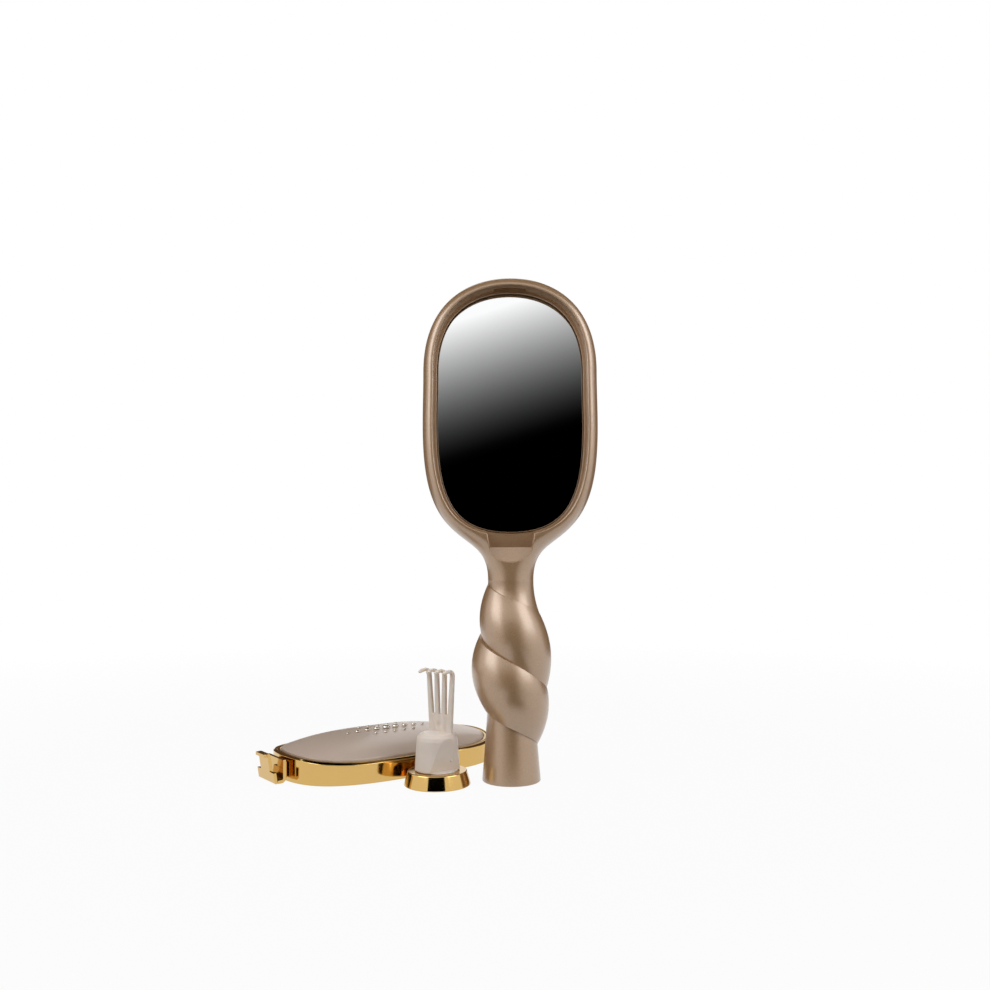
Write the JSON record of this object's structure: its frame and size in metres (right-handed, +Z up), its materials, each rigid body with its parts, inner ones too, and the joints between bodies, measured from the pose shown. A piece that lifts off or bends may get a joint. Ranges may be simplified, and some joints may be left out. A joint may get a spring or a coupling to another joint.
{
  "type": "styling brush with mirror",
  "caption": "Upright styling brush with an oval mirror in its front, a twisted grip, a lift-off mirror cover with a spring latch, and a cleaning pick stored in the handle.",
  "frame": {"origin": "on the floor under the middle of the three pieces' common box", "axes": "+Z up along the handle, -Y the way the mirror faces, +X to the right seen from the mirror's side"},
  "size_m": [0.1654, 0.1122, 0.2398],
  "materials": {
    "champagne": "satin metallic lacquer",
    "mirror": "silvered glass",
    "pad": "foam adhesive pad",
    "rubber": "soft matt",
    "gold": "polished gold plate",
    "pearl": "pearl lacquer",
    "stone": "faceted, foil backed",
    "nylon": "slightly translucent"
  },
  "bodies": {
    "handle": {"handle_moulding": "champagne", "mirror_glass": "mirror", "mirror_pad": "pad", "brush_ring": "champagne", "bristle_band_1": "rubber", "bristle_band_2": "rubber", "bristle_band_3": "rubber", "bristle_band_4": "rubber"},
    "cover": {"cover_rim": "gold", "cover_bezel": "gold", "cover_panel": "pearl", "stone_row_1": "stone", "stone_row_2": "stone", "stone_row_3": "stone", "stone_row_4": "stone", "stone_row_5": "stone", "stone_row_6": "stone", "stone_row_7": "stone", "stone_row_8": "stone", "stone_row_9": "stone", "stone_near_1": "stone", "stone_near_2": "stone", "stone_near_3": "stone", "stone_near_4": "stone", "stone_near_5": "stone", "stone_far_1": "stone", "stone_far_2": "stone", "stone_far_3": "stone", "stone_far_4": "stone", "stone_far_5": "stone", "latch_bracket": "gold"},
    "latch": {"latch_leaf": "gold"},
    "pick": {"pick_foot": "gold", "pick_comb": "nylon"}
  },
  "joints": [
    {"name": "cover_lift", "type": "slide", "parent": "handle", "child": "cover", "axis": [0, 0, 1], "range_m": [0, 0.12]},
    {"name": "pick_lift", "type": "slide", "parent": "handle", "child": "pick", "axis": [0, 0, 1], "range_m": [0, 0.05]},
    {"name": "latch_press", "type": "hinge", "parent": "cover", "child": "latch", "pos_m": [-0.07587, -0.03353, 0.00105], "axis": [-0.606, 0.7955, 0], "range_deg": [0, 12], "stiffness_Nm_per_rad": 0.25}
  ]
}
